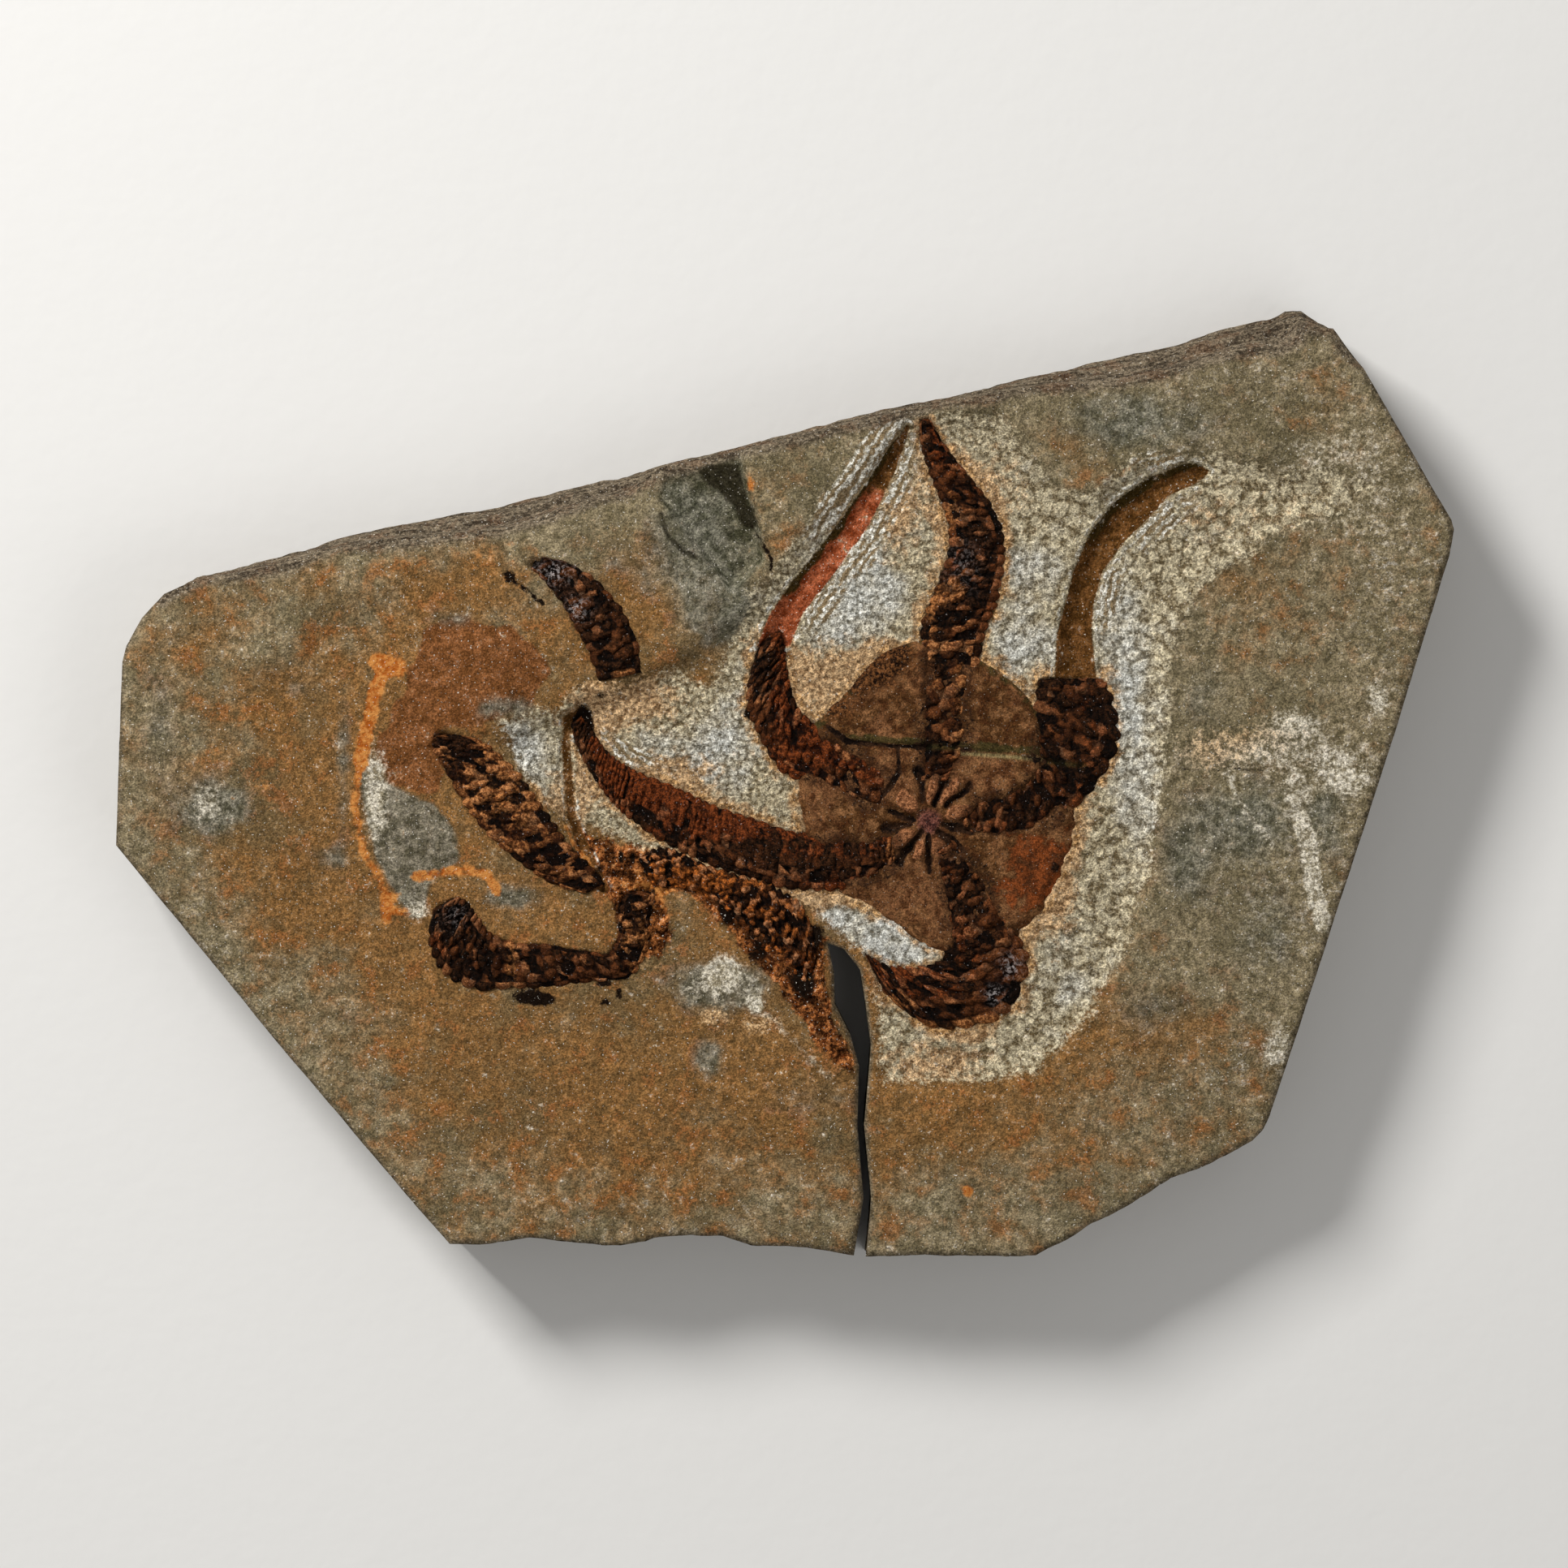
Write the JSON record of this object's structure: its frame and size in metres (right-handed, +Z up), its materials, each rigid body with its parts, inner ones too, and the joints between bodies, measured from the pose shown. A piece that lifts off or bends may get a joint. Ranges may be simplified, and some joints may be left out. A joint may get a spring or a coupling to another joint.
{
  "type": "fossil brittle star",
  "caption": "Brittle star with dark plated arms and a round disc, lying in a cracked slab of brown siltstone with loose pieces of arm beside it.",
  "frame": {"origin": "middle of the slab's length and width, on its flat underside", "axes": "+Z up out of the bedding plane that carries the star, +X along the slab's length towards its sawn right end, +Y towards the broken upper edge"},
  "size_m": [0.15, 0.1067, 0.0143],
  "materials": {
    "siltstone": "matt, fine grained, with mica specks and pale prepared patches",
    "disc_skin": "smooth, dull red-brown",
    "dark_plates": "black-brown mineral with a slight shine",
    "rust_plates": "rough rusty mineral"
  },
  "bodies": {
    "root": {"slab": "siltstone", "disc": "disc_skin", "arm_north": "dark_plates", "arm_west": "dark_plates", "arm_northwest": "dark_plates", "arm_east": "dark_plates", "arm_southeast": "dark_plates", "stray_arm_upper": "dark_plates", "stray_arm_middle": "dark_plates", "stray_arm_lower": "dark_plates", "crushed_arm": "rust_plates"}
  },
  "joints": []
}
